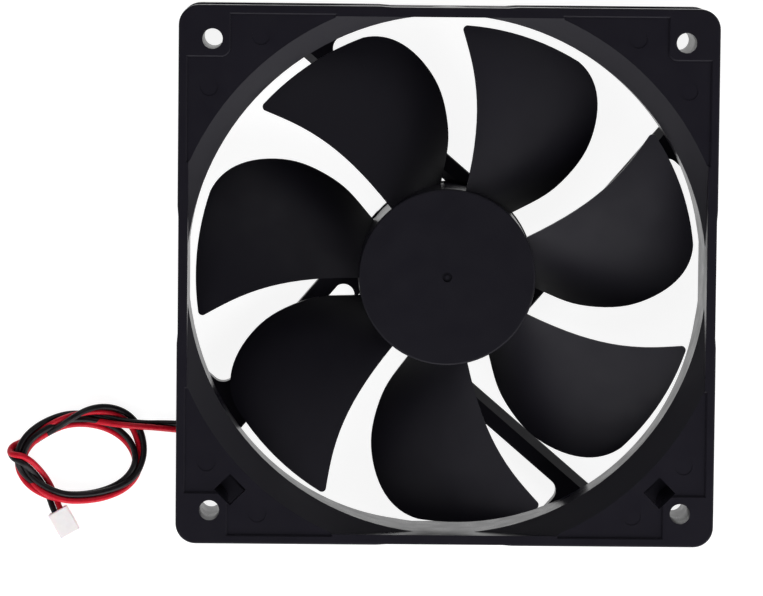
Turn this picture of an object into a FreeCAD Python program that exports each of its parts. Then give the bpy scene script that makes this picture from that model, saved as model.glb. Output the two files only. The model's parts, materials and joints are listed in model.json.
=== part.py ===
import FreeCAD, Part
import math
import os

# A 120 mm case fan lying on its outlet side. +Z points out of the inlet side, the rotor's axis is Z,
# and the origin is the middle of the outlet face. All lengths are millimetres.

Vector = FreeCAD.Vector
ORIGIN = Vector(0, 0, 0)
UP = Vector(0, 0, 1)
TINY = 0.01

# Frame
SIZE = 120.0                    # side of the square
DEPTH = 25.0
HALF = SIZE / 2
CORNER_R = 4.5
EDGE_R = 0.4
FLANGE = 4.0                    # thickness of each corner flange
HOLE_SPACING = 105.0
HOLE_R = 2.25
POST_R = 3.9
SIDE_RELIEF = 0.2               # how far the middle of each side is set back
RELIEF_HALF_LENGTH = 15.5

# Airway
BORE_R = 58.1
BORE_LOW = 8.5                  # the straight stretch of the bore, at the corners
BORE_HIGH = 18.5
INLET_R = 63.1
OUTLET_R = 61.5
OUTLET_SHIFT = 15.0             # the outlet flares towards the corners only, by four cones set off the axis
FLAT = 57.7                     # flats that keep the airway inside the sides
BARREL_R = SIZE / 2 - SIDE_RELIEF
BARREL_FOOT_R = 66.0            # where the barrel's outer cones meet the flanges
BARREL_LOW = 9.0
BARREL_HIGH = 16.0

# Inlet face details
RIM = 2.0
PAD = 11.5
PAD_R = 2.0
RECESS = 0.5
RECESS_BEVEL = 0.3
RECESS_TIP = 25.3
POCKET_AT = 47.9
POCKET_HALF_DIAGONAL = 3.55

# Struts and motor base
STRUT_ANGLES = (-40.6, 49.4, 139.4)
CABLE_STRUT = 229.4
STRUT_NEAR = 15.25              # offsets of the strut's two edges from the axis
STRUT_FAR = 20.2
STRUT_LOW = 0.3
STRUT_HIGH = 4.4
FACET_WIDTH = 1.75
FACET_LOW = 1.8
CABLE_NEAR = 16.0               # the strut that carries the lead is narrower and has no facet
CHANNEL_AT = -(CABLE_NEAR + STRUT_FAR) / 2
FOOT_START = 52.75              # distance along the strut where its foot begins
FOOT_REACH = 6.8
CABLE_FOOT_REACH = 4.8          # second foot, on the near side of the strut that carries the lead
FOOT_FILLET = 2.8
STRUT_END_R = 62.5
BASE_R = 20.1
RUNNING_GAP = 0.7               # between the hub and the ends of the struts
BASE_LOW = 0.3
BASE_HIGH = 2.4
LABEL_R = 17.0
LABEL_T = 0.18
LABEL_TOP = 0.5

# Bearing
TUBE_R = 5.0
TUBE_BORE_R = 4.0
TUBE_TOP = 18.0
SHAFT_R = 1.5
BEARING_CLEARANCE = 0.03
BEARING_LOW = 3.0
BEARING_HIGH = 17.0
SHAFT_LOW = 1.8
SHAFT_HIGH = 23.0
GROOVE_LOW = 2.1
GROOVE_HIGH = 2.5
GROOVE_R = 1.15

# Rotor
HUB_TOP = 24.5
HUB_BOTTOM = 3.2
HUB_TOP_R = 19.65
HUB_BOTTOM_R = 19.8
HUB_INNER_R = 18.2
HUB_FACE_T = 1.6
HUB_EDGE_R = 0.45
YOKE_T = 0.9
YOKE_LOW = 5.5
MAGNET_IN_R = 15.6
MAGNET_LOW = 6.5
MAGNET_HIGH = 17.5
BUSHING_R = 3.5
BUSHING_LOW = 19.5
BOSS_R = 5.5

# Blades: angles are degrees from the leading edge's tip, positive the way the rotor turns
BLADES = 7
BLADE_START = 35.55
TIP_R = 56.0
ROOT_R = 18.8
LEADING_EDGE = ((17.5, -8.5), (27.8, -8.4), (38.9, -6.2), (46.7, -3.5), (52.4, -1.15), (54.8, -0.2))
TRAILING_EDGE = ((53.0, -36.1), (46.2, -42.8), (41.7, -45.8), (35.0, -48.4), (29.3, -49.2), (23.5, -47.3),
                 (17.5, -43.3))
TIP_CORNER = (55.65, -0.42)
LEADING_TIP = -1.1
TRAILING_TIP = -28.5

# Stator
CORE_R = 14.9
CORE_LOW = 8.6
CORE_HIGH = 14.6
POLES = 4
NECK_HALF = 1.6
SHOE_IN_R = 12.8
SHOE_HALF_ANGLE = 36.0
INSULATION = 0.5
COIL_IN = 8.2
COIL_OUT = 11.75
BOBBIN_WALL_R = 12.3
COIL_HALF = 3.4
COIL_T = 1.1
BOARD_R = 15.2
BOARD_HOLE_R = 5.3
BOARD_LOW = 4.6
BOARD_HIGH = 5.6
PIN_R = 0.32
PIN_AT = 10.2
PIN_ANGLES = (45, 225, 315)
PIN_TOP = 8.0
STRAND_R = 0.3                  # bare end of each core of the lead

# Two-core lead
WIRE_R = 0.7
WIRE_GAP = 0.04
LEAD_SIDES = {"black": WIRE_R + WIRE_GAP / 2, "red": -WIRE_R - WIRE_GAP / 2}
LEAD_Z = 1.4
CHANNEL_HALF = 1.6
CHANNEL_TOP = 2.3
LEAD_CORNER = Vector(-55.2, -36.73, LEAD_Z)
LEAD_EXIT = Vector(-60.0, -36.44, LEAD_Z)
COIL_CENTRE = Vector(-83.45, -43.15, 0)
COIL_OUTER = (15.45, 11.15)
COIL_HOLE_CENTRE = Vector(-82.6, -44.0, 0)
COIL_HOLE = (11.3, 7.1)
COIL_HEIGHT = 5.2
PLUG_BACK = Vector(-87.5, -55.7, 0)
PLUG_ANGLE = -60.0
PLUG_LENGTH = 6.2
PLUG_HALF_WIDTH = 2.4
PLUG_HEIGHT = 3.4
PLUG_PITCH = 2.0

parts = {}


def polar(radius, degrees, z=0.0):
    angle = math.radians(degrees)
    return Vector(radius * math.cos(angle), radius * math.sin(angle), z)


def block(x_low, x_high, y_low, y_high, z_low, z_high):
    return Part.makeBox(x_high - x_low, y_high - y_low, z_high - z_low, Vector(x_low, y_low, z_low))


def disc(radius, z_low, z_high, centre=ORIGIN):
    return Part.makeCylinder(radius, z_high - z_low, Vector(centre.x, centre.y, z_low))


def ring(inner, outer, z_low, z_high, centre=ORIGIN):
    return disc(outer, z_low, z_high, centre).cut(disc(inner, z_low - 1, z_high + 1, centre))


def cone(r_low, r_high, z_low, z_high):
    return Part.makeCone(r_low, r_high, z_high - z_low, Vector(0, 0, z_low))


def lathe(profile):
    corners = [Vector(radius, 0, z) for radius, z in profile]
    face = Part.Face(Part.makePolygon(corners + corners[:1]))
    return face.revolve(ORIGIN, UP, 360)


def prism(corners, z_low, z_high):
    bottom = [Vector(x, y, z_low) for x, y in corners]
    face = Part.Face(Part.makePolygon(bottom + bottom[:1]))
    return face.extrude(Vector(0, 0, z_high - z_low))


def turned(shape, degrees, centre=ORIGIN):
    copy = shape.copy()
    copy.rotate(centre, UP, degrees)
    return copy


def moved(shape, offset):
    copy = shape.copy()
    copy.translate(offset)
    return copy


def around(shape, angles):
    return [turned(shape, angle) for angle in angles]


def upright_edges(shape):
    return [edge for edge in shape.Edges if edge.BoundBox.ZLength > TINY]


def level_edges(shape, z):
    return [edge for edge in shape.Edges
            if edge.BoundBox.ZLength < TINY and abs(edge.BoundBox.ZMin - z) < TINY]


def keep(name, shape):
    parts[name] = shape


# ---------------------------------------------------------------- frame

def frame_slab():
    slab = block(-HALF, HALF, -HALF, HALF, 0, DEPTH)
    slab = slab.makeFillet(CORNER_R, upright_edges(slab))
    slab = slab.makeFillet(EDGE_R, level_edges(slab, 0) + level_edges(slab, DEPTH))
    ramp = 2.5
    relief = prism(((-RELIEF_HALF_LENGTH, HALF + TINY), (-RELIEF_HALF_LENGTH + ramp, BARREL_R),
                    (RELIEF_HALF_LENGTH - ramp, BARREL_R), (RELIEF_HALF_LENGTH, HALF + TINY)),
                   -1, DEPTH + 1)
    return slab.cut(around(relief, (0, 90, 180, 270)))


def corner_centres():
    half = HOLE_SPACING / 2
    return [Vector(x * half, y * half, 0) for x in (-1, 1) for y in (-1, 1)]


def airway():
    flats = block(-FLAT, FLAT, -FLAT, FLAT, -1, DEPTH + 1)
    inlet = cone(BORE_R, INLET_R, BORE_HIGH, DEPTH).common(flats)
    slope = (OUTLET_R - BORE_R) / BORE_LOW
    top = BORE_LOW + 2
    outlet = cone(OUTLET_R - OUTLET_SHIFT, OUTLET_R - OUTLET_SHIFT - slope * top, 0, top)
    outlets = [moved(outlet, polar(OUTLET_SHIFT, angle)) for angle in (45, 135, 225, 315)]
    return disc(BORE_R, -1, DEPTH + 1).common(flats).fuse([inlet] + outlets)


def corner_windows():
    low = FLANGE
    high = DEPTH - FLANGE
    space = block(-HALF - 5, HALF + 5, -HALF - 5, HALF + 5, low, high)
    barrel = lathe(((0, low), (BARREL_FOOT_R, low), (BARREL_R, BARREL_LOW), (BARREL_R, BARREL_HIGH),
                    (BARREL_FOOT_R, high), (0, high)))
    posts = [disc(POST_R, low, high, centre) for centre in corner_centres()]
    return space.cut([barrel] + posts)


def recess_outline(z):
    """Area between the rim and the raised pad round a corner's hole."""
    outer = HALF - RIM
    pad = HALF - PAD
    bend = math.sqrt(0.5) * PAD_R
    corners = [Vector(x, y, z) for x, y in ((pad + PAD_R, pad), (outer, pad), (outer, RECESS_TIP),
                                            (RECESS_TIP, RECESS_TIP), (RECESS_TIP, outer), (pad, outer),
                                            (pad, pad + PAD_R))]
    middle = Vector(pad + PAD_R - bend, pad + PAD_R - bend, z)
    return Part.Wire(Part.makePolygon(corners).Edges + [Part.Arc(corners[-1], middle, corners[0]).toShape()])


def face_recesses():
    """Shallow recesses with bevelled borders, each with two ejector marks."""
    bottom = recess_outline(DEPTH - RECESS)
    bevel_start = recess_outline(DEPTH - RECESS_BEVEL)
    bevel_end = recess_outline(DEPTH).makeOffset2D(RECESS_BEVEL, 2)
    bevel = Part.makeLoft([bevel_start, bevel_end], True, True)
    above = Part.Face(bevel_end).extrude(Vector(0, 0, 1))
    recess = Part.Face(bottom).extrude(Vector(0, 0, RECESS - RECESS_BEVEL)).fuse([bevel, above])
    mark_depth = 0.12
    ejector_mark = disc(2.0, DEPTH - RECESS - mark_depth, DEPTH, Vector(53.2, 41.8, 0))
    second_mark = disc(2.0, DEPTH - RECESS - mark_depth, DEPTH, Vector(41.8, 53.2, 0))
    corner = recess.fuse([ejector_mark, second_mark])
    return around(corner, (0, 90, 180, 270))


def lower_pockets():
    reach = POCKET_HALF_DIAGONAL
    square = prism(((-reach, 0), (0, -reach), (reach, 0), (0, reach)), DEPTH - FLANGE, DEPTH + 1)
    return [moved(square, Vector(x * POCKET_AT, -POCKET_AT, 0)) for x in (-1, 1)]


def strut(near, facet_width):
    """One strut with its foot, running along +X with the axis on its left."""
    section = ((-STRUT_FAR, STRUT_LOW), (-near, STRUT_LOW), (-near, FACET_LOW),
               (-near - facet_width, STRUT_HIGH), (-STRUT_FAR + 0.3, STRUT_HIGH),
               (-STRUT_FAR, STRUT_HIGH - 0.3))
    corners = [Vector(0, y, z) for y, z in section]
    bar = Part.Face(Part.makePolygon(corners + corners[:1])).extrude(Vector(STRUT_END_R, 0, 0))
    return bar.fuse(foot(-STRUT_FAR, -FOOT_REACH)).common(disc(STRUT_END_R, -1, DEPTH))


def foot(edge, reach):
    """Web that widens the outer end of a strut from one of its edges, with a hollow corner."""
    side = math.copysign(1, reach)
    overlap = edge - side * 0.4
    across = sorted((overlap, edge + reach))
    web = block(FOOT_START, STRUT_END_R, across[0], across[1], STRUT_LOW, STRUT_HIGH)
    across = sorted((overlap, edge + side * FOOT_FILLET))
    corner = block(FOOT_START - FOOT_FILLET, FOOT_START + TINY, across[0], across[1], STRUT_LOW, STRUT_HIGH)
    scoop = disc(FOOT_FILLET, STRUT_LOW - 1, STRUT_HIGH + 1,
                 Vector(FOOT_START - FOOT_FILLET, edge + side * FOOT_FILLET, 0))
    return web.fuse(corner.cut(scoop))


def cable_strut():
    """Strut that carries the lead, with a second foot and a web where it meets the motor base."""
    near_foot = foot(-CABLE_NEAR, CABLE_FOOT_REACH).common(disc(STRUT_END_R, -1, DEPTH))
    scoop_r = 2.5
    scoop_at = 19.4
    root_web = block(12, scoop_at, -CABLE_NEAR - TINY, -CABLE_NEAR + 2 * scoop_r, BASE_LOW, BASE_HIGH)
    scoop = disc(scoop_r, BASE_LOW - 1, BASE_HIGH + 1, Vector(scoop_at, -CABLE_NEAR + scoop_r, 0))
    return strut(CABLE_NEAR, 0).fuse([near_foot, root_web.cut(scoop)])


def lead_channel():
    """Groove in the outlet side that carries the lead from the motor base to the frame's left side."""
    along_strut = block(6, 63.8, CHANNEL_AT - CHANNEL_HALF, CHANNEL_AT + CHANNEL_HALF, -1, CHANNEL_TOP)
    base_slot = block(-1.5, 10, CHANNEL_AT - CHANNEL_HALF, CHANNEL_AT + 4.7, -1, BASE_HIGH + 1)
    grooves = around(along_strut.fuse(base_slot), (CABLE_STRUT,))
    elbow = disc(2.5, -1, CHANNEL_TOP, LEAD_CORNER + Vector(0.2, 0.5, 0))
    heading = math.degrees(math.atan2(LEAD_EXIT.y - LEAD_CORNER.y, LEAD_EXIT.x - LEAD_CORNER.x))
    outlet = block(-0.5, 8, -CHANNEL_HALF, CHANNEL_HALF, -1, CHANNEL_TOP)
    outlet = moved(turned(outlet, heading), Vector(LEAD_CORNER.x, LEAD_CORNER.y, 0))
    return grooves + [elbow, outlet]


def lead_tabs():
    """Small tabs across the channel that hold the lead in it."""
    tab = block(0, 1.4, CHANNEL_AT - CHANNEL_HALF - TINY, CHANNEL_AT + 0.2, STRUT_LOW, STRUT_LOW + 0.35)
    return [turned(moved(tab, Vector(along, 0, 0)), CABLE_STRUT) for along in (25.0, 40.0)]


def motor_base():
    plate = disc(BASE_R, BASE_LOW, BASE_HIGH)
    tube = disc(TUBE_R, BASE_LOW, TUBE_TOP)
    collar = disc(TUBE_R + 1.4, BASE_HIGH, BOARD_LOW - 0.1)
    standoffs = [disc(1.2, BASE_HIGH, BOARD_LOW, polar(12.4, angle)) for angle in (20, 95, 275)]
    return [plate, tube, collar] + standoffs


def frame():
    over_base = ring(TUBE_R + TINY, HUB_BOTTOM_R + RUNNING_GAP, BASE_HIGH, STRUT_HIGH + 1)
    struts = around(strut(STRUT_NEAR, FACET_WIDTH), STRUT_ANGLES) + [turned(cable_strut(), CABLE_STRUT)]
    struts = [piece.cut(over_base) for piece in struts]
    outline = frame_slab()
    shell = outline.cut([corner_windows(), airway()] + face_recesses() + lower_pockets())
    body = shell.fuse([piece.common(outline) for piece in struts] + motor_base())
    holes = [disc(HOLE_R, -1, DEPTH + 1, centre) for centre in corner_centres()]
    bearing_hole = disc(TUBE_BORE_R, -1, TUBE_TOP + 1)
    label_seat = disc(LABEL_R + 0.2, BASE_LOW - 1, LABEL_TOP)
    body = body.cut(holes + [bearing_hole, label_seat] + lead_channel())
    return body.fuse(lead_tabs()).removeSplitter()


# ---------------------------------------------------------------- bearing and rotor

def bearing_parts():
    bore = SHAFT_R + BEARING_CLEARANCE
    chamfer = 0.3
    keep("sleeve_bearing", lathe(((bore + chamfer, BEARING_LOW), (TUBE_BORE_R - chamfer, BEARING_LOW),
                                  (TUBE_BORE_R, BEARING_LOW + chamfer), (TUBE_BORE_R, BEARING_HIGH - chamfer),
                                  (TUBE_BORE_R - chamfer, BEARING_HIGH), (bore + chamfer, BEARING_HIGH),
                                  (bore, BEARING_HIGH - chamfer), (bore, BEARING_LOW + chamfer))))
    keep("oil_washer_upper", ring(SHAFT_R + 0.1, TUBE_BORE_R, BEARING_HIGH + 0.05, BEARING_HIGH + 0.45))
    keep("oil_washer_lower", ring(SHAFT_R + 0.1, TUBE_BORE_R, BEARING_LOW - 0.3, BEARING_LOW - 0.02))
    keep("thrust_pad", disc(2.2, SHAFT_LOW - 0.5, SHAFT_LOW - 0.05))
    keep("bearing_cap", disc(TUBE_BORE_R, LABEL_TOP, SHAFT_LOW - 0.5))


def shaft():
    chamfer = 0.25
    return lathe(((0, SHAFT_LOW), (SHAFT_R - chamfer, SHAFT_LOW), (SHAFT_R, SHAFT_LOW + chamfer),
                  (SHAFT_R, GROOVE_LOW), (GROOVE_R, GROOVE_LOW), (GROOVE_R, GROOVE_HIGH), (SHAFT_R, GROOVE_HIGH),
                  (SHAFT_R, SHAFT_HIGH - chamfer), (SHAFT_R - chamfer, SHAFT_HIGH), (0, SHAFT_HIGH)))


def retaining_ring():
    """Open ring that snaps into the shaft's groove."""
    slack = 0.02
    whole = ring(GROOVE_R + slack, 2.6, GROOVE_LOW + slack, GROOVE_HIGH - slack)
    mouth = block(0, 3, -0.8, 0.8, GROOVE_LOW - 1, GROOVE_HIGH + 1)
    return whole.cut(mouth)


def shaft_bushing():
    top = HUB_TOP - HUB_FACE_T
    knurl = [disc(0.25, BUSHING_LOW + 0.8, top - 0.6, polar(BUSHING_R, step * 30)) for step in range(12)]
    return ring(SHAFT_R, BUSHING_R, BUSHING_LOW, top).cut(knurl)


def rotor_yoke():
    outer = HUB_INNER_R
    inner = outer - YOKE_T
    top = HUB_TOP - HUB_FACE_T
    cup = disc(outer, YOKE_LOW, top)
    cup = cup.makeFillet(1.0, level_edges(cup, top))
    hollow = disc(inner, YOKE_LOW - 1, top - YOKE_T)
    return cup.cut([hollow, disc(BOSS_R, YOKE_LOW, top + 1)])


def ring_magnet():
    return ring(MAGNET_IN_R, HUB_INNER_R - YOKE_T, MAGNET_LOW, MAGNET_HIGH)


def hub():
    """Moulded cup with its boss, and a small gate mark in the middle of its face."""
    face_low = HUB_TOP - HUB_FACE_T
    cup = cone(HUB_BOTTOM_R, HUB_TOP_R, HUB_BOTTOM, HUB_TOP)
    cup = cup.makeFillet(HUB_EDGE_R, level_edges(cup, HUB_TOP))
    hollow = disc(HUB_INNER_R, HUB_BOTTOM - 1, face_low)
    hollow = hollow.makeFillet(1.0, level_edges(hollow, face_low))
    boss = ring(BUSHING_R, BOSS_R, 20.3, face_low + TINY)
    knurl = [disc(0.25, BUSHING_LOW + 0.8, face_low - 0.6, polar(BUSHING_R, step * 30)) for step in range(12)]
    shaft_end = disc(SHAFT_R, face_low - TINY, SHAFT_HIGH)
    gate_well = ring(0.45, 1.1, HUB_TOP - 0.4, HUB_TOP + 1)
    return cup.cut(hollow).fuse([boss] + knurl).cut([shaft_end, gate_well])


def blade_height(radius, share):
    """Height of the blade's inlet side at a radius, share 0 at the leading edge and 1 at the trailing edge."""
    out = (radius - HUB_TOP_R) / (TIP_R - HUB_TOP_R)
    leading = 22.8 - 1.8 * out
    fall = 15.6 - 0.6 * out
    return leading - fall * (0.62 * share + 0.38 * share * share)


def blade_thickness(radius, share):
    """Thickness of the blade measured along Z, which is more where the blade is steep."""
    out = (radius - HUB_TOP_R) / (TIP_R - HUB_TOP_R)
    return (2.7 - 1.4 * out) * (1 - 0.45 * (2 * share - 1) ** 2)


def blade_skin(below):
    """Inlet side of the blade, or its outlet side if below is 1, a little past the blade's outline."""
    rows = []
    for step in range(9):
        radius = 17.0 + step * 5.1
        out = (radius - HUB_TOP_R) / (TIP_R - HUB_TOP_R)
        leading = -9.2 + 1.2 * out + 8.0 * out ** 2.2 if out > 0 else -9.2
        sweep = 42.0 - 6.5 * (1 - out) ** 5
        row = []
        for share in (-0.2, 0.0, 0.2, 0.4, 0.6, 0.8, 1.0, 1.2):
            z = blade_height(radius, share) - below * blade_thickness(radius, min(max(share, 0), 1))
            row.append(polar(radius, leading - sweep * share, z))
        rows.append(row)
    surface = Part.BSplineSurface()
    surface.interpolate(rows)
    return surface


def blade_slab():
    upper = blade_skin(0)
    lower = blade_skin(1)
    faces = [upper.toShape(), lower.toShape()]
    u_low, u_high, v_low, v_high = upper.bounds()
    for u, u_below in ((u_low, lower.bounds()[0]), (u_high, lower.bounds()[1])):
        faces.append(Part.makeRuledSurface(upper.uIso(u).toShape(), lower.uIso(u_below).toShape()))
    for v, v_below in ((v_low, lower.bounds()[2]), (v_high, lower.bounds()[3])):
        faces.append(Part.makeRuledSurface(upper.vIso(v).toShape(), lower.vIso(v_below).toShape()))
    shell = Part.makeShell(faces)
    shell.sewShape(0.001)
    solid = Part.makeSolid(shell)
    if solid.Volume < 0:
        solid.reverse()
    return solid


def blade_outline():
    """The blade seen along the axis: hollow leading edge, full trailing edge, round tip."""
    leading = [polar(radius, angle) for radius, angle in LEADING_EDGE]
    trailing = [polar(TIP_R, TRAILING_TIP)] + [polar(radius, angle) for radius, angle in TRAILING_EDGE]
    lead_curve = Part.BSplineCurve()
    lead_curve.interpolate(leading)
    trail_curve = Part.BSplineCurve()
    trail_curve.interpolate(trailing)
    nose = polar(TIP_R, LEADING_TIP)
    tip = Part.Arc(nose, polar(TIP_R, (LEADING_TIP + TRAILING_TIP) / 2), trailing[0])
    corner = Part.Arc(leading[-1], polar(*TIP_CORNER), nose)
    root = Part.LineSegment(trailing[-1], leading[0])
    edges = [lead_curve.toShape(), corner.toShape(), tip.toShape(), trail_curve.toShape(), root.toShape()]
    return Part.Face(Part.Wire(edges)).extrude(Vector(0, 0, DEPTH))


def impeller():
    blade = blade_slab().common(blade_outline()).cut(disc(ROOT_R, 0, DEPTH))
    step = 360.0 / BLADES
    blades = [turned(blade, BLADE_START + index * step) for index in range(BLADES)]
    return hub().fuse(blades).removeSplitter()


def rotor_parts():
    keep("impeller", impeller())
    keep("rotor_yoke", rotor_yoke())
    keep("ring_magnet", ring_magnet())
    keep("shaft", shaft())
    keep("shaft_bushing", shaft_bushing())
    keep("retaining_ring", retaining_ring())


# ---------------------------------------------------------------- stator and electronics

def pole_angles():
    return [index * 360 / POLES for index in range(POLES)]


def sector(inner, outer, half_angle, z_low, z_high):
    edges = [Part.Arc(polar(outer, -half_angle, z_low), polar(outer, 0, z_low), polar(outer, half_angle, z_low)),
             Part.LineSegment(polar(outer, half_angle, z_low), polar(inner, half_angle, z_low)),
             Part.Arc(polar(inner, half_angle, z_low), polar(inner, 0, z_low), polar(inner, -half_angle, z_low)),
             Part.LineSegment(polar(inner, -half_angle, z_low), polar(outer, -half_angle, z_low))]
    face = Part.Face(Part.Wire([edge.toShape() for edge in edges]))
    return face.extrude(Vector(0, 0, z_high - z_low))


def stator_core():
    middle = ring(TUBE_R, COIL_IN - 0.7, CORE_LOW, CORE_HIGH)
    neck = block(COIL_IN - 1.2, SHOE_IN_R + 0.5, -NECK_HALF, NECK_HALF, CORE_LOW, CORE_HIGH)
    shoe = sector(SHOE_IN_R, CORE_R, SHOE_HALF_ANGLE, CORE_LOW, CORE_HIGH)
    return middle.fuse(around(neck.fuse(shoe), pole_angles())).removeSplitter()


def insulator(core):
    """Moulded half bobbin: a plate over the core's inlet side, sleeves on its necks and walls for the coils."""
    plate_top = CORE_HIGH + 1.0
    wall_top = CORE_HIGH + 2.4
    middle_z = (CORE_LOW + CORE_HIGH) / 2
    plate = ring(TUBE_R, COIL_IN - 0.2, CORE_HIGH, plate_top)
    inner_wall = ring(TUBE_R + 1.2, COIL_IN - 0.2, plate_top - TINY, wall_top)
    half = NECK_HALF + INSULATION
    sleeve = block(COIL_IN - 0.6, SHOE_IN_R, -half, half, middle_z, plate_top)
    flange = sector(BOBBIN_WALL_R, SHOE_IN_R + 0.1, 20, CORE_HIGH, wall_top)
    arms = around(sleeve.fuse(flange), pole_angles())
    return plate.fuse([inner_wall] + arms).cut([core, disc(TUBE_R, 0, DEPTH)]).removeSplitter()


def other_side(shape):
    """The same piece fitted to the core's outlet side."""
    return shape.mirror(Vector(0, 0, (CORE_LOW + CORE_HIGH) / 2), UP)


def at_pins(radius, z_low, z_high):
    """A round piece at each of the three terminal pins."""
    return [disc(radius, z_low, z_high, polar(PIN_AT, angle)) for angle in PIN_ANGLES]


def lower_insulator(upper):
    lug = block(COIL_IN - 1.2, 11.2, -1.3, 1.3, CORE_LOW - 1.8, CORE_LOW - 0.1)
    body = other_side(upper).fuse(around(lug, PIN_ANGLES)).removeSplitter()
    return body.cut(at_pins(PIN_R, 0, PIN_TOP))


def winding():
    """One coil of enamelled wire round a neck, with rounded outer edges."""
    plate_top = CORE_HIGH + 1.0
    plate_low = CORE_LOW - 1.0
    half = NECK_HALF + INSULATION
    outer = block(COIL_IN, COIL_OUT, -COIL_HALF, COIL_HALF, plate_low - COIL_T, plate_top + COIL_T)
    long_edges = [edge for edge in outer.Edges if edge.BoundBox.XLength > TINY]
    outer = outer.makeFillet(1.0, long_edges)
    return outer.cut(block(0, COIL_OUT + 1, -half, half, plate_low, plate_top))


def circuit_board():
    board = ring(BOARD_HOLE_R, BOARD_R, BOARD_LOW, BOARD_HIGH)
    lead_holes = [disc(0.5, 0, DEPTH, point) for point in lead_pads().values()]
    return board.cut(at_pins(PIN_R + 0.08, 0, DEPTH) + lead_holes)


def lead_pads():
    """The two places on the board where the lead's cores are soldered."""
    start = inner_route()[0]
    back = polar(0.15, CABLE_STRUT) + Vector(0, 0, start.z)
    return {colour: beside(inner_route(), side)[0] - back for colour, side in LEAD_SIDES.items()}


def gull_wing_chip(length, width, height, leads, lead_width):
    """Small moulded chip hanging below z = 0, with leads along two sides."""
    body = block(-length / 2, length / 2, -width / 2, width / 2, -height, -0.1)
    body = body.makeChamfer(0.2, [edge for edge in body.Edges if edge.BoundBox.ZMax < -height + TINY])
    legs = []
    for index in range(leads):
        x = (index - (leads - 1) / 2) * length / leads
        for side in (-1, 1):
            y_in = side * (width / 2 - 0.1)
            y_out = side * (width / 2 + 0.7)
            legs.append(block(x - lead_width / 2, x + lead_width / 2, min(y_in, y_out), max(y_in, y_out), -0.25, 0))
    return body.fuse(legs)


def board_parts():
    keep("circuit_board", circuit_board())
    chip = gull_wing_chip(4.9, 3.0, 1.6, 4, 0.4)
    keep("driver_ic", moved(chip, polar(10.0, 0, BOARD_LOW)))
    sensor = gull_wing_chip(2.6, 1.3, 1.2, 3, 0.35)
    sensor.rotate(ORIGIN, Vector(1, 0, 0), 180)
    keep("hall_sensor", moved(turned(sensor, 45), polar(13.4, 135, BOARD_HIGH)))
    diode = gull_wing_chip(2.4, 1.4, 1.0, 1, 0.9)
    keep("diode", moved(turned(diode, 30), polar(10.6, 240, BOARD_LOW)))
    for index, angle in enumerate((60, 200), start=1):
        ceramic = block(-1.0, 1.0, -0.6, 0.6, -1.1, 0)
        keep("capacitor_%d" % index, moved(turned(ceramic, angle), polar(10.4, angle, BOARD_LOW)))
    keep("terminal_pins", Part.makeCompound(at_pins(PIN_R, BOARD_LOW - 0.7, PIN_TOP)))
    keep("solder_joints", solder_joints())


def solder_joints():
    pins = Part.makeCompound(at_pins(PIN_R, 0, DEPTH))
    pin_fillets = [moved(cone(0.45, 0.95, BOARD_LOW - 0.5, BOARD_LOW), polar(PIN_AT, angle)).cut(pins)
                   for angle in PIN_ANGLES]
    lead_fillets = [moved(cone(0.85, 0.45, BOARD_HIGH, BOARD_HIGH + 0.5), point)
                    .fuse(disc(0.45, BOARD_LOW, BOARD_HIGH + TINY, point)) for point in lead_pads().values()]
    return Part.makeCompound(pin_fillets + lead_fillets)


def stator_parts():
    core = stator_core()
    upper = insulator(core)
    keep("stator_core", core)
    keep("insulator_upper", upper)
    keep("insulator_lower", lower_insulator(upper))
    coil = winding()
    for index, angle in enumerate(pole_angles(), start=1):
        keep("coil_%d" % index, turned(coil, angle))
    board_parts()


# ---------------------------------------------------------------- lead

def strut_point(along, across, z=0.0):
    """A place given along and across the strut that carries the lead."""
    angle = math.radians(CABLE_STRUT)
    return Vector(along * math.cos(angle) - across * math.sin(angle),
                  along * math.sin(angle) + across * math.cos(angle), z)


def beside(route, offset):
    """The same route shifted sideways in plan, to the right of its heading."""
    result = []
    for index, point in enumerate(route):
        before = route[max(index - 1, 0)]
        after = route[min(index + 1, len(route) - 1)]
        first = Vector(point.x - before.x, point.y - before.y, 0)
        second = Vector(after.x - point.x, after.y - point.y, 0)
        first = first if first.Length > TINY else second
        second = second if second.Length > TINY else first
        first.normalize()
        second.normalize()
        middle = first + second
        middle.normalize()
        stretch = offset / middle.dot(first)
        result.append(point + Vector(middle.y, -middle.x, 0) * stretch)
    return result


def rounded_route(name, route):
    """Straight runs joined by tangent arcs, each as large as its two runs allow."""
    edges = []
    start = route[0]
    for before, corner, after in zip(route, route[1:], route[2:]):
        first = corner - before
        second = after - corner
        reach = 0.45 * min(first.Length, second.Length)
        turn = first.getAngle(second)
        radius = reach / math.tan(turn / 2)
        first.normalize()
        second.normalize()
        arc_start = corner - first * reach
        arc_end = corner + second * reach
        inward = second - first
        inward.normalize()
        arc_middle = corner + inward * (radius / math.cos(turn / 2) - radius)
        edges.append(Part.LineSegment(start, arc_start).toShape())
        edges.append(Part.Arc(arc_start, arc_middle, arc_end).toShape())
        print(name, "radius %.2f turn %.1f" % (radius, math.degrees(turn)))
        start = arc_end
    edges.append(Part.LineSegment(start, route[-1]).toShape())
    return Part.Wire(edges)


def wire_tube(name, route):
    path = rounded_route(name, route)
    heading = route[1] - route[0]
    section = Part.Wire(Part.makeCircle(WIRE_R, route[0], heading))
    tube = path.makePipeShell([section], True, False)
    expected = math.pi * WIRE_R ** 2 * path.Length
    print(name, "length %.2f volume %.3f expected %.3f" % (path.Length, tube.Volume, expected))
    return tube


def inner_route():
    return [strut_point(-7.2, -12.2, 3.8), strut_point(-2.6, -13.6, 3.5), strut_point(2.2, -16.2, 2.2),
            strut_point(7.4, CHANNEL_AT, LEAD_Z), LEAD_CORNER, LEAD_EXIT]


def exit_route():
    return [LEAD_EXIT, Vector(-63.6, -36.22, LEAD_Z), Vector(-67.2, -36.05, 2.2), Vector(-71.0, -35.75, 2.6)]


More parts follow.
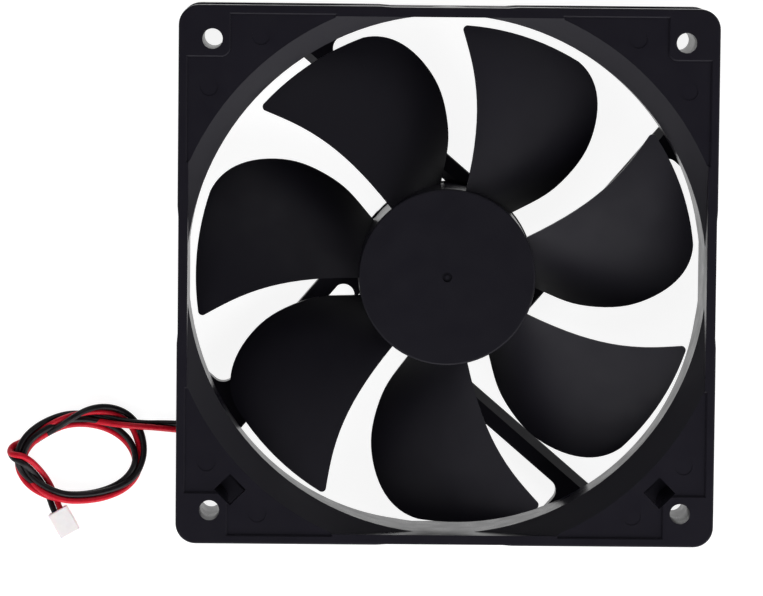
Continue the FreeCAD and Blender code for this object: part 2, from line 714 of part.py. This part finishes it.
def tail_route():
    return [Vector(-88.5, -53.2, 0.9), Vector(-88.1, -54.4, 1.25), Vector(-87.6, -55.5, 1.6),
            plug_point(0.9, 0, 1.7)]


def lead_parts():
    for colour, side in LEAD_SIDES.items():
        route = beside(inner_route(), side)
        strand = disc(STRAND_R, route[0].z - STRAND_R, BOARD_LOW, lead_pads()[colour])
        keep("lead_%s_inner" % colour, wire_tube("inner " + colour, route).fuse(strand))
        keep("lead_%s_exit" % colour, wire_tube("exit " + colour, beside(exit_route(), side)))
        keep("lead_%s_tail" % colour, wire_tube("tail " + colour, beside(tail_route(), side * 1.2)))
    keep("lead_coil", lead_coil())


def oval(centre, half_lengths, z):
    major, minor = half_lengths
    return Part.Wire(Part.Ellipse(Vector(centre.x, centre.y, z), major, minor).toShape())


def lead_coil():
    """Outer shape of the lead's loose oval turns."""
    outer = Part.Face(oval(COIL_CENTRE, COIL_OUTER, 0)).extrude(Vector(0, 0, COIL_HEIGHT))
    hole = Part.Face(oval(COIL_HOLE_CENTRE, COIL_HOLE, -1)).extrude(Vector(0, 0, COIL_HEIGHT + 2))
    return outer.cut(hole)


# ---------------------------------------------------------------- connector

def plug_point(along, across, z):
    angle = math.radians(PLUG_ANGLE)
    return PLUG_BACK + Vector(along * math.cos(angle) - across * math.sin(angle),
                              along * math.sin(angle) + across * math.cos(angle), z)


def placed_on_plug(shape):
    return moved(turned(shape, PLUG_ANGLE), PLUG_BACK)


def cavity_centres():
    return (-PLUG_PITCH / 2, PLUG_PITCH / 2)


def connector_housing():
    """Two-way housing: a cavity for each contact, a latch window under it and a groove along each side."""
    body = block(0, PLUG_LENGTH, -PLUG_HALF_WIDTH, PLUG_HALF_WIDTH, 0, PLUG_HEIGHT)
    body = body.makeFillet(0.25, body.Edges)
    centre_z = PLUG_HEIGHT / 2
    cuts = []
    for y in cavity_centres():
        cuts.append(block(-1, PLUG_LENGTH - 0.9, y - 0.85, y + 0.85, centre_z - 0.85, centre_z + 0.85))
        cuts.append(block(0, PLUG_LENGTH + 1, y - 0.4, y + 0.4, centre_z - 0.4, centre_z + 0.4))
        cuts.append(block(2.0, 3.4, y - 0.5, y + 0.5, -1, centre_z))
    for side in (-1, 1):
        groove = block(1.2, PLUG_LENGTH + 1, -0.3, 0.3, centre_z - 0.7, centre_z + 0.7)
        cuts.append(moved(groove, Vector(0, side * PLUG_HALF_WIDTH, 0)))
    return placed_on_plug(body.cut(cuts))


def crimp_terminal(y):
    """Folded contact: a square barrel with an open crimp behind it."""
    centre_z = PLUG_HEIGHT / 2
    barrel = block(2.0, 5.1, y - 0.7, y + 0.7, centre_z - 0.7, centre_z + 0.7)
    barrel = barrel.cut(block(2.3, 6, y - 0.45, y + 0.45, centre_z - 0.45, centre_z + 0.45))
    trough = block(1.0, 2.1, y - 0.6, y + 0.6, centre_z - 0.7, centre_z - 0.45)
    return placed_on_plug(barrel.fuse(trough))


def connector_parts():
    keep("connector_housing", connector_housing())
    for colour, y in zip(("black", "red"), cavity_centres()):
        keep("crimp_terminal_%s" % colour, crimp_terminal(y))


# ---------------------------------------------------------------- the whole fan

keep("frame", frame())
keep("rear_label", disc(LABEL_R, LABEL_TOP - LABEL_T, LABEL_TOP))
bearing_parts()
rotor_parts()
stator_parts()
lead_parts()
connector_parts()

os.makedirs("parts", exist_ok=True)
for node, shape in parts.items():
    valid = shape.isValid()
    print("%-22s volume %9.2f solids %d valid %s" % (node, shape.Volume, len(shape.Solids), valid))
    shape.exportStep("parts/%s.step" % node)
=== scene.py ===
import json
import math

import bpy
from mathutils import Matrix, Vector


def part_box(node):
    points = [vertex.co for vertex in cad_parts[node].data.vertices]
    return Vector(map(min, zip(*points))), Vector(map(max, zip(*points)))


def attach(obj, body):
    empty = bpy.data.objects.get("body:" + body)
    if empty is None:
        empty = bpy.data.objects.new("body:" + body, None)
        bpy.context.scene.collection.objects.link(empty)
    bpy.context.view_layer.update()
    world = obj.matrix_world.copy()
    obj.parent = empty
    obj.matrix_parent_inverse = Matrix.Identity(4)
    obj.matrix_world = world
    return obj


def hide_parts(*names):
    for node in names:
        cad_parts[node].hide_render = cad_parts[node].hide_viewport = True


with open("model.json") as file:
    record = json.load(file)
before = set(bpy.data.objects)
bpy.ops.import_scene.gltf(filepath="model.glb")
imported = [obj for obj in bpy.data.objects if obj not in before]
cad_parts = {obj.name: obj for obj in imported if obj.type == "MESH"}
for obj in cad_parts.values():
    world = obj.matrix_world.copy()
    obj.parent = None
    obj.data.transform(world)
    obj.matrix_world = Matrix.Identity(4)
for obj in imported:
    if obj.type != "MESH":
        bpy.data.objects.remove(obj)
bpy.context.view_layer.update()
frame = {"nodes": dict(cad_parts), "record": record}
nodes = frame["nodes"]
scene = bpy.context.scene
MM = 0.001


# ---------------------------------------------------------------- camera

camera_data = bpy.data.cameras.new("camera")
camera_data.sensor_width = 36
camera_data.lens = 231.65
camera_data.clip_end = 30
camera = bpy.data.objects.new("camera", camera_data)
camera.location = (-0.0302, 0.0860, 1.1116)
camera.rotation_euler = [math.radians(angle) for angle in (-4.779, -0.776, 0.582)]
scene.collection.objects.link(camera)
scene.camera = camera
scene.view_settings.view_transform = "Standard"


# ---------------------------------------------------------------- lead: route of the pair, then its two wires

WIRE_R = 0.7
SIDE = 0.72                      # from the pair's middle to the middle of each wire
LOOP_CENTRE = (-83.2, -44.3)
LOOP_HALF = (13.5, 8.6)
LOOP_START = 100
LOOP_END = 700
LOOP_STEP = 20

# x, y, z in millimetres, then the roll in degrees: 90 has the black wire on the right of the heading,
# and 0 has it on top
EXIT_ROUTE = [(-60.0, -36.44, 1.4, 90), (-63.6, -36.22, 1.4, 130), (-67.2, -36.05, 2.2, 150),
              (-71.0, -35.75, 2.6, 150), (-74.6, -35.3, 2.1, 135), (-78.0, -34.7, 1.4, 110),
              (-81.6, -34.35, 0.9, 90)]
TAIL_ROUTE = [(-68.2, -43.6, 1.35, 25), (-68.5, -40.4, 1.0, 65), (-69.5, -37.2, 0.72, 90),
              (-71.3, -34.7, 0.72, 90), (-74.0, -33.1, 1.0, 80), (-77.3, -32.4, 1.9, 60),
              (-80.6, -32.7, 3.2, 30), (-83.6, -33.8, 4.1, -10), (-86.4, -35.3, 3.4, -55),
              (-89.2, -37.0, 1.9, -85), (-91.6, -38.5, 0.9, -95), (-93.6, -39.9, 0.72, -95),
              (-95.6, -41.0, 0.72, -105), (-97.6, -41.5, 1.2, -140), (-98.4, -42.5, 2.6, -180),
              (-97.2, -43.3, 4.2, -225), (-95.6, -43.6, 4.8, -260), (-93.8, -44.7, 4.4, -270),
              (-92.2, -46.6, 2.6, -270), (-90.8, -48.6, 1.1, -270), (-89.6, -50.7, 0.72, -270),
              (-88.5, -53.2, 0.9, -270), (-88.1, -54.4, 1.25, -270), (-87.6, -55.5, 1.6, -270),
              (-87.05, -56.48, 1.7, -270)]
# round the loop: angle, distance outside the oval, height, roll
LOOP_KEYS = [(100, 1.4, 0.72, 90), (125, 0.75, 1.2, 75), (155, 0.1, 2.75, 30), (172, 0.0, 2.75, 10),
             (200, 0.0, 1.5, -30), (225, 0.0, 1.8, -75), (240, 0.0, 2.14, -85), (256, 0.0, 2.14, -90),
             (280, 0.0, 1.0, -88), (300, 0.0, 0.8, -80), (330, 0.0, 1.15, -45), (360, 0.0, 1.42, 0),
             (385, 0.1, 1.35, 35), (410, 0.5, 1.1, 60), (430, 0.6, 1.2, 60), (455, 0.3, 1.6, 55),
             (485, -0.7, 2.0, 50), (515, -1.2, 2.75, 25), (532, -1.4, 2.75, 5), (560, -1.4, 1.6, -20),
             (585, -1.0, 2.6, -50), (600, -0.6, 3.5, -75), (618, -0.1, 3.55, -88), (640, 0.0, 2.3, -90),
             (660, 0.25, 2.1, -80), (685, 0.85, 1.7, -45), (700, 1.2, 1.5, -10)]


def between(keys, angle):
    """The keyed values at an angle, eased from key to key."""
    for before, after in zip(keys, keys[1:]):
        if before[0] <= angle <= after[0]:
            share = (angle - before[0]) / (after[0] - before[0])
            share = share * share * (3 - 2 * share)
            return [a + (b - a) * share for a, b in zip(before[1:], after[1:])]
    return list(keys[-1][1:])


def loop_route():
    route = []
    for angle in range(LOOP_START, LOOP_END + 1, LOOP_STEP):
        outside, height, roll = between(LOOP_KEYS, angle)
        turn = math.radians(angle)
        route.append((LOOP_CENTRE[0] + (LOOP_HALF[0] + outside) * math.cos(turn),
                      LOOP_CENTRE[1] + (LOOP_HALF[1] + outside) * math.sin(turn), height, roll))
    return route


def wire_points(route, side):
    """Control points of one wire, side 1 or -1 of the pair's middle, in metres."""
    points = []
    for index, (x, y, z, roll) in enumerate(route):
        before = route[max(index - 1, 0)]
        after = route[min(index + 1, len(route) - 1)]
        heading = Vector((after[0] - before[0], after[1] - before[1], 0)).normalized()
        right = Vector((heading.y, -heading.x, 0))
        roll = math.radians(roll)
        offset = (right * math.sin(roll) + Vector((0, 0, math.cos(roll)))) * side * SIDE
        middle = Vector((x, y, z)) + offset
        middle.z = max(middle.z, WIRE_R)
        points.append(middle * MM)
    return points


def wire(name, points, radius):
    """A round tube on one smooth curve, with its thickness in its points. Its thickness is in its points,
    so that its box is measured right.
    """
    curve = bpy.data.curves.new(name, "CURVE")
    curve.dimensions = "3D"
    spline = curve.splines.new("NURBS")
    spline.points.add(len(points) - 1)
    for point, place in zip(spline.points, points):
        point.co = (*place, 1)
        point.radius = radius
    spline.order_u = 3
    spline.use_endpoint_u = True
    spline.resolution_u = 8
    curve.bevel_depth = 1.0
    curve.bevel_resolution = 5
    curve.use_fill_caps = True
    piece = bpy.data.objects.new(name, curve)
    scene.collection.objects.link(piece)
    return piece


lead_route = EXIT_ROUTE + loop_route() + TAIL_ROUTE
black_points = wire_points(lead_route, 1)
red_points = wire_points(lead_route, -1)
black_wire = wire("lead_black_wire", black_points, WIRE_R * MM)
red_wire = wire("lead_red_wire", red_points, WIRE_R * MM)
for piece in (black_wire, red_wire):
    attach(piece, "stator")
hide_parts("lead_black_exit", "lead_black_tail")
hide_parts("lead_red_exit", "lead_red_tail", "lead_coil")


# ---------------------------------------------------------------- surfaces

WAVE_PERIOD = math.pi / 10       # period of Blender's wave texture at scale 1
BLACK_GLOSS = 0.13               # specular levels
INSULATION_GLOSS = 0.15
LEG_T = 0.25 * MM                # thickness of the chips' legs on the board
PRINTED_RING = (15.375 * MM, 15.925 * MM)
PRINT_EDGE = 0.025 * MM


class Finish:
    """A node material in the piece's own coordinates, so that it turns and moves with the piece."""

    def __init__(self, name, roughness=0.5, **settings):
        self.material = bpy.data.materials.new(name)
        self.material.use_nodes = True
        self.tree = self.material.node_tree
        self.shader = self.tree.nodes["Principled BSDF"]
        self.shader.inputs["Roughness"].default_value = roughness
        for socket, value in settings.items():
            self.shader.inputs[socket.replace("_", " ").title()].default_value = value
        self.coordinates = self.add("ShaderNodeTexCoord")

    def add(self, kind, **settings):
        node = self.tree.nodes.new(kind)
        for name, value in settings.items():
            setattr(node, name, value)
        return node

    def join(self, source, node, socket):
        self.tree.links.new(source, node.inputs[socket])

    def place(self, stretch=(1, 1, 1)):
        mapping = self.add("ShaderNodeMapping")
        mapping.inputs["Scale"].default_value = stretch
        self.join(self.coordinates.outputs["Object"], mapping, "Vector")
        return mapping.outputs["Vector"]

    def noise(self, size, detail=2.0, stretch=(1, 1, 1)):
        """Cloudy pattern from 0 to 1, with patches of about that many millimetres."""
        node = self.add("ShaderNodeTexNoise")
        node.inputs["Scale"].default_value = 1 / (size * MM)
        node.inputs["Detail"].default_value = detail
        self.join(self.place(stretch), node, "Vector")
        return node.outputs["Fac"]

    def grains(self, size):
        """Pattern of separate grains, each with its own value from 0 to 1."""
        node = self.add("ShaderNodeTexVoronoi")
        node.inputs["Scale"].default_value = 1 / (size * MM)
        self.join(self.place(), node, "Vector")
        split = self.add("ShaderNodeSeparateColor")
        self.join(node.outputs["Color"], split, "Color")
        return split.outputs["Red"]

    def bands(self, period, axis, distortion=0.0):
        """Even stripes across an axis, from 0 to 1 and back every so many millimetres."""
        node = self.add("ShaderNodeTexWave", wave_type="BANDS", bands_direction=axis)
        return self.wave(node, period, distortion)

    def rings(self, period, distortion=0.0):
        """Even rings round the Z axis."""
        node = self.add("ShaderNodeTexWave", wave_type="RINGS", rings_direction="Z")
        return self.wave(node, period, distortion)

    def wave(self, node, period, distortion):
        node.inputs["Scale"].default_value = WAVE_PERIOD / (period * MM)
        node.inputs["Distortion"].default_value = distortion
        node.inputs["Detail Scale"].default_value = 0.1
        self.join(self.place(), node, "Vector")
        return node.outputs["Fac"]

    def along(self, axis):
        """Place along an axis, in metres."""
        split = self.add("ShaderNodeSeparateXYZ")
        self.join(self.coordinates.outputs["Object"], split, "Vector")
        return split.outputs[axis]

    def radius(self):
        """Distance from the Z axis, in metres."""
        length = self.add("ShaderNodeVectorMath", operation="LENGTH")
        self.join(self.place((1, 1, 0)), length, 0)
        return length.outputs["Value"]

    def steepness(self, start, full):
        """0 to 1 as the upright part of the surface's direction falls from one value to another."""
        split = self.add("ShaderNodeSeparateXYZ")
        self.join(self.coordinates.outputs["Normal"], split, "Vector")
        level = self.math("ABSOLUTE", split.outputs["Z"])
        return self.share(level, start, full)

    def math(self, operation, first, second=None):
        node = self.add("ShaderNodeMath", operation=operation)
        for socket, value in ((0, first), (1, second)):
            if isinstance(value, (int, float)):
                node.inputs[socket].default_value = value
            elif value is not None:
                self.join(value, node, socket)
        return node.outputs["Value"]

    def share(self, source, low, high, out_low=0.0, out_high=1.0):
        """A value moved from one range to another, and kept inside it."""
        node = self.add("ShaderNodeMapRange")
        self.join(source, node, "Value")
        limits = {"From Min": low, "From Max": high, "To Min": out_low, "To Max": out_high}
        for socket, value in limits.items():
            node.inputs[socket].default_value = value
        return node.outputs["Result"]

    def mix(self, share, first, second):
        """Colour between two colours, each a tuple or another node's colour."""
        node = self.add("ShaderNodeMix", data_type="RGBA")
        self.join(share, node, "Factor")
        for socket, colour in ((6, first), (7, second)):
            if isinstance(colour, tuple):
                node.inputs[socket].default_value = (*colour, 1)
            else:
                self.join(colour, node, socket)
        return node.outputs[2]

    def colour(self, source):
        self.join(source, self.shader, "Base Color")
        return self

    def rough(self, source):
        self.join(source, self.shader, "Roughness")
        return self

    def bump(self, *layers):
        """Relief from pairs of a height pattern and its depth in millimetres."""
        normal = None
        for height, depth in layers:
            node = self.add("ShaderNodeBump")
            node.inputs["Distance"].default_value = depth * MM
            self.join(height, node, "Height")
            if normal is not None:
                self.join(normal, node, "Normal")
            normal = node.outputs["Normal"]
        self.join(normal, self.shader, "Normal")
        return self


def shaded(colour, factor):
    return tuple(factor * value for value in colour)


def moulded_black(name, colour, painted_sheen_colour, grain):
    """Black moulded plastic: spark-textured faces, polished walls, faint flow marks, and sloping faces
    painted greyer as a painted sheen.
    """
    finish = Finish(name)
    finish.shader.inputs["Specular IOR Level"].default_value = BLACK_GLOSS
    walls = finish.steepness(0.45, 0.1)
    painted_sheen_slopes = finish.math("SUBTRACT", finish.steepness(0.69, 0.63), walls)
    flow = finish.noise(14, 3, (1, 0.4, 1))
    plain = finish.mix(flow, shaded(colour, 0.8), shaded(colour, 1.25))
    # painted sheen: sloping faces (flares, strut facets, edge bevels) get a lighter, greyer colour that
    # stands in for their glossy reflection
    finish.colour(finish.mix(painted_sheen_slopes, plain, painted_sheen_colour))
    level = finish.share(finish.noise(5, 2), 0.3, 0.7, 0.46, 0.54)
    finish.rough(finish.math("ADD", level, finish.math("MULTIPLY", walls, -0.2)))
    texture = finish.math("MULTIPLY", finish.noise(grain, 1), finish.share(walls, 0, 1, 1, 0.25))
    return finish.bump((texture, 0.012))


def clear_plastic(name, colour, roughness, mottle):
    """Pale moulded plastic that lets a little light in."""
    finish = Finish(name, roughness, subsurface_weight=0.25, subsurface_scale=0.6 * MM)
    cloud = finish.noise(mottle, 3)
    finish.colour(finish.mix(cloud, shaded(colour, 0.9), colour))
    finish.rough(finish.share(cloud, 0.3, 0.7, roughness - 0.06, roughness + 0.06))
    return finish.bump((finish.noise(0.25, 2), 0.008))


def metal(name, colour, roughness, lines):
    """Worked metal with fine tool lines round the rotor's axis, so many millimetres apart."""
    finish = Finish(name, roughness, metallic=1.0)
    pattern = finish.bands(lines, "Z", 0.5)
    stain = finish.noise(2.5, 3)
    finish.colour(finish.mix(stain, shaded(colour, 0.82), colour))
    finish.rough(finish.share(stain, 0.3, 0.7, roughness - 0.05, roughness + 0.08))
    return finish.bump((pattern, 0.002))


def sintered_bronze():
    finish = Finish("bronze", 0.45, metallic=1.0)
    pores = finish.share(finish.grains(0.09), 0.0, 0.25)
    finish.colour(finish.mix(pores, (0.12, 0.07, 0.03), (0.55, 0.33, 0.14)))
    return finish.bump((pores, 0.01))


def laminations():
    """Stack of thin steel sheets, seen edge on round the core's sides."""
    finish = Finish("core_steel", 0.42, metallic=0.9)
    sheets = finish.share(finish.bands(0.5, "Z"), 0.05, 0.3)
    finish.colour(finish.mix(sheets, (0.10, 0.095, 0.09), (0.44, 0.44, 0.45)))
    return finish.bump((sheets, 0.02), (finish.noise(0.4, 3), 0.004))


def enamelled_winding(axis):
    """Turns of enamelled wire lying side by side across the coil's axis."""
    finish = Finish("enamelled_copper_" + axis.lower(), 0.28, metallic=0.85, coat_weight=0.6,
                    coat_roughness=0.1)
    turns = finish.bands(0.16, axis, 0.8)
    tone = finish.noise(0.8, 2)
    copper = finish.mix(tone, (0.40, 0.12, 0.035), (0.62, 0.24, 0.08))
    # painted shade: the dark colour between turns stands in for the shadow in the grooves between round wires
    finish.colour(finish.mix(finish.share(turns, 0.0, 0.35), (0.10, 0.03, 0.012), copper))
    return finish.bump((turns, 0.06))


def board():
    """Green solder resist over curved copper tracks."""
    finish = Finish("board_laminate", 0.32, coat_weight=0.3, coat_roughness=0.15)
    tracks = finish.share(finish.rings(1.3, 1.0), 0.62, 0.7)
    breaks = finish.share(finish.noise(5, 0), 0.47, 0.5)
    tracks = finish.math("MULTIPLY", tracks, breaks)
    finish.colour(finish.mix(tracks, (0.012, 0.075, 0.028), (0.035, 0.17, 0.05)))
    return finish.bump((tracks, 0.02), (finish.bands(0.6, "X"), 0.002), (finish.bands(0.6, "Y"), 0.002))


def chip():
    """Moulded epoxy body with tinned legs on the board's level."""
    finish = Finish("chip_epoxy", 0.5)
    low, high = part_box("circuit_board")
    height = finish.along("Z")
    blur = 0.01 * MM
    under = finish.share(height, low.z - LEG_T - blur, low.z - LEG_T + blur)
    over = finish.share(height, high.z + LEG_T + blur, high.z + LEG_T - blur)
    legs = finish.math("MULTIPLY", under, over)
    grain = finish.noise(0.12, 2)
    epoxy = finish.mix(grain, (0.012, 0.012, 0.013), (0.026, 0.026, 0.027))
    finish.colour(finish.mix(legs, epoxy, (0.62, 0.62, 0.6)))
    finish.join(legs, finish.shader, "Metallic")
    return finish.bump((grain, 0.006))


def label():
    """Plain paper label with a printed border ring."""
    finish = Finish("label_paper", 0.55)
    radius = finish.radius()
    inner, outer = PRINTED_RING
    inside = finish.share(radius, outer + PRINT_EDGE, outer - PRINT_EDGE)
    outside = finish.share(radius, inner - PRINT_EDGE, inner + PRINT_EDGE)
    ring = finish.math("MULTIPLY", inside, outside)
    fibre = finish.noise(0.35, 4, (1, 0.35, 1))
    paper = finish.mix(fibre, (0.70, 0.70, 0.68), (0.82, 0.82, 0.80))
    finish.colour(finish.mix(ring, paper, (0.16, 0.16, 0.17)))
    return finish.bump((fibre, 0.006))


def ferrite():
    finish = Finish("magnet_ferrite", 0.6, metallic=0.2)
    grain = finish.grains(0.15)
    finish.colour(finish.mix(grain, (0.03, 0.03, 0.032), (0.075, 0.073, 0.07)))
    return finish.bump((grain, 0.01), (finish.bands(0.35, "Z"), 0.004))


def wire_insulation(name, dark, light):
    """Extruded PVC: glossy, very slightly uneven."""
    finish = Finish(name)
    finish.shader.inputs["Specular IOR Level"].default_value = INSULATION_GLOSS
    cloud = finish.noise(1.6, 3)
    finish.colour(finish.mix(cloud, dark, light))
    finish.rough(finish.share(cloud, 0.3, 0.7, 0.22, 0.36))
    return finish.bump((finish.noise(0.7, 2), 0.02))


def ceramic_chip():
    finish = Finish("capacitor_ceramic", 0.35)
    grain = finish.noise(0.15, 3)
    finish.colour(finish.mix(grain, (0.30, 0.19, 0.10), (0.46, 0.31, 0.18)))
    return finish.bump((grain, 0.005))


finishes = {
    # the second colour of each moulded black is a painted sheen on its sloping faces
    "frame_plastic": moulded_black("frame_plastic", (0.0068, 0.0060, 0.0102),
                                   (0.0220, 0.0212, 0.0255), 0.16),
    "impeller_plastic": moulded_black("impeller_plastic", (0.0066, 0.0060, 0.0096),
                                      (0.0074, 0.0070, 0.0105), 0.22),
    "bronze": sintered_bronze(),
    "washer_film": clear_plastic("washer_film", (0.72, 0.68, 0.55), 0.3, 1.5),
    "thrust_plastic": clear_plastic("thrust_plastic", (0.70, 0.68, 0.60), 0.35, 1.0),
    "label_paper": label(),
    "core_steel": laminations(),
    "bobbin_plastic": clear_plastic("bobbin_plastic", (0.62, 0.60, 0.50), 0.42, 2.0),
    "enamelled_copper": enamelled_winding("X"),
    "tinned_metal": metal("tinned_metal", (0.72, 0.72, 0.70), 0.3, 0.2),
    "board_laminate": board(),
    "chip_epoxy": chip(),
    "capacitor_ceramic": ceramic_chip(),
    "wire_red": wire_insulation("wire_red", (0.42, 0.004, 0.014), (0.60, 0.010, 0.028)),
    "wire_black": wire_insulation("wire_black", (0.006, 0.005, 0.006), (0.012, 0.010, 0.012)),
    "connector_nylon": clear_plastic("connector_nylon", (0.97, 0.94, 0.94), 0.38, 1.2),
    "yoke_steel": metal("yoke_steel", (0.50, 0.50, 0.51), 0.38, 0.3),
    "magnet_ferrite": ferrite(),
    "shaft_steel": metal("shaft_steel", (0.75, 0.75, 0.76), 0.14, 0.12),
    "brass": metal("brass", (0.78, 0.56, 0.25), 0.25, 0.15),
}


def assign(piece, finish):
    piece.data.materials.clear()
    piece.data.materials.append(finish.material)


for subpart in frame["record"]["subparts"]:
    assign(nodes[subpart["node"]], finishes[subpart["material_slot"]])
cross_winding = enamelled_winding("Y")
for name in ("coil_2", "coil_4"):
    assign(nodes[name], cross_winding)
assign(black_wire, finishes["wire_black"])
assign(red_wire, finishes["wire_red"])


# ---------------------------------------------------------------- floor and light

FLOOR_HALF = 3.0
FLOOR_DROP = 0.3 * MM            # keeps the floor clear of the frame's outlet face
floor_corners = ((-1, -1), (1, -1), (1, 1), (-1, 1))
floor_mesh = bpy.data.meshes.new("floor")
floor_mesh.from_pydata([(x * FLOOR_HALF, y * FLOOR_HALF, 0) for x, y in floor_corners], [], [(0, 1, 2, 3)])
floor = bpy.data.objects.new("floor", floor_mesh)
floor.location.z = -FLOOR_DROP
scene.collection.objects.link(floor)
floor_finish = Finish("floor", 0.8, base_color=(0.3, 0.3, 0.3, 1), emission_color=(1, 1, 1, 1),
                      emission_strength=0.9)
assign(floor, floor_finish)


# direction in degrees, elevation in degrees and power in watts of each light
LIGHTS = {"low_front": (-90, 14, 15.2), "low_front_right": (-45, 14, 10.1), "low_front_left": (-135, 14, 3.6),
          "low_right": (0, 14, 3.2), "front": (-90, 38, 9.0), "front_right": (-45, 38, 9.4),
          "front_left": (-135, 38, 5.9), "left": (180, 38, 3.7), "right": (0, 38, 3.6),
          "back_right": (45, 38, 2.0), "back": (90, 38, 6.3)}
LIGHT_DISTANCE = 1.75
LIGHT_SIZE = 1.2


def area_light(name, azimuth, elevation, power):
    """Round soft light that faces the fan and isn't seen itself."""
    data = bpy.data.lights.new(name, "AREA")
    data.shape = "DISK"
    data.size = LIGHT_SIZE
    data.energy = power
    light = bpy.data.objects.new(name, data)
    turn = math.radians(azimuth)
    rise = math.radians(elevation)
    level = math.cos(rise)
    direction = Vector((math.cos(turn) * level, math.sin(turn) * level, math.sin(rise)))
    light.location = direction * LIGHT_DISTANCE
    light.rotation_euler = (-direction).to_track_quat("-Z", "Y").to_euler()
    light.visible_camera = False
    scene.collection.objects.link(light)


for light_name, light_values in LIGHTS.items():
    area_light(light_name, *light_values)


def soft_surroundings():
    """Faint bluish room light that is brighter near the horizon than overhead."""
    world = bpy.data.worlds.new("surroundings")
    world.use_nodes = True
    scene.world = world
    tree = world.node_tree
    background = tree.nodes["Background"]
    background.inputs["Color"].default_value = (0.93, 0.92, 1.0, 1)
    direction = tree.nodes.new("ShaderNodeTexCoord")
    split = tree.nodes.new("ShaderNodeSeparateXYZ")
    fade = tree.nodes.new("ShaderNodeMapRange")
    limits = {"From Min": 0.25, "From Max": 0.9, "To Min": 0.05, "To Max": 0.02}
    for socket, value in limits.items():
        fade.inputs[socket].default_value = value
    tree.links.new(direction.outputs["Generated"], split.inputs["Vector"])
    tree.links.new(split.outputs["Z"], fade.inputs["Value"])
    tree.links.new(fade.outputs["Result"], background.inputs["Strength"])


soft_surroundings()


# ---------------------------------------------------------------- the end

bpy.context.view_layer.update()
